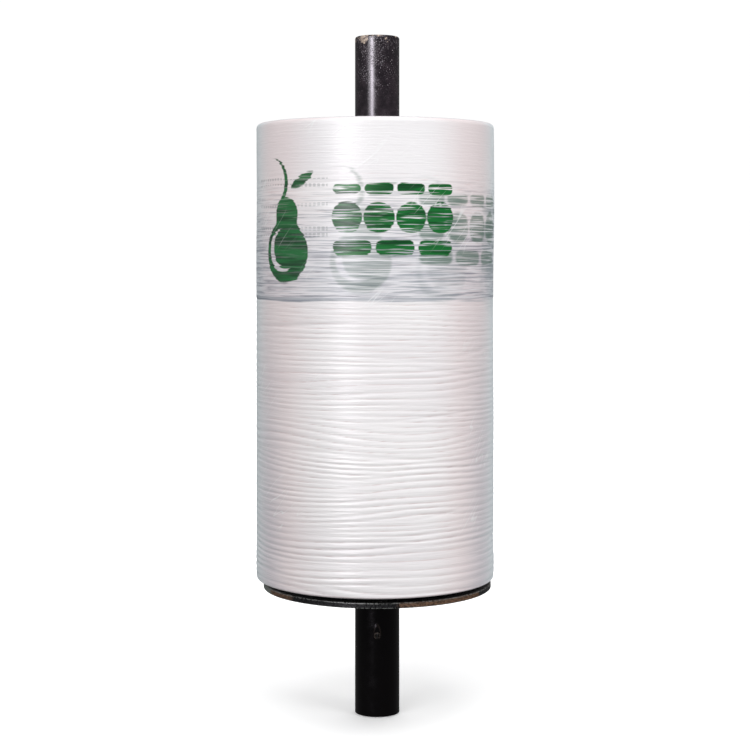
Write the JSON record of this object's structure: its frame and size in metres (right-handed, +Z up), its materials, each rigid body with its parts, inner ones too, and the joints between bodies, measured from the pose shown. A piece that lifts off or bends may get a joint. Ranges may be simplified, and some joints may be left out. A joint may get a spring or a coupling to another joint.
{
  "type": "produce bag roll on a post",
  "caption": "Round black steel post with a welded support disc carrying a paper-cored roll of translucent tear-off film bags that spins and lifts off over the top.",
  "frame": {"origin": "centre of the post's lower end face, at the mouth of the foot insert's threaded hole", "axes": "+Z up the post; -Y is the front, where the outer bag's print faces"},
  "size_m": [0.1356, 0.1354, 0.3863],
  "materials": {
    "post_paint": "gloss black enamel, chipped and scuffed",
    "disc_paint": "gloss black enamel, worn brown at the rim",
    "plug_plastic": "moulded black polyethylene",
    "insert_steel": "turned, zinc plated",
    "pin_steel": "phosphated spring steel",
    "washer_plastic": "moulded black nylon",
    "core_board": "uncoated spiral-wound board",
    "bag_film": "milky translucent film, softly ridged, with a green printed band"
  },
  "bodies": {
    "post": {"post_tube": "post_paint", "end_plug": "plug_plastic", "support_disc": "disc_paint", "disc_weld": "post_paint", "foot_insert": "insert_steel", "spring_pin": "pin_steel"},
    "washer": {"slip_washer": "washer_plastic"},
    "bag_roll": {"paper_core": "core_board", "wound_bags": "bag_film", "next_bag": "bag_film", "outer_bag": "bag_film"}
  },
  "joints": [
    {"name": "roll_spin", "type": "hinge", "parent": "post", "child": "washer", "pos_m": [-0.0013, 0, 0.0751], "axis": [0, 0, 1], "continuous": true},
    {"name": "roll_lift", "type": "slide", "parent": "washer", "child": "bag_roll", "axis": [0, 0, 1], "range_m": [0, 0.32]}
  ]
}
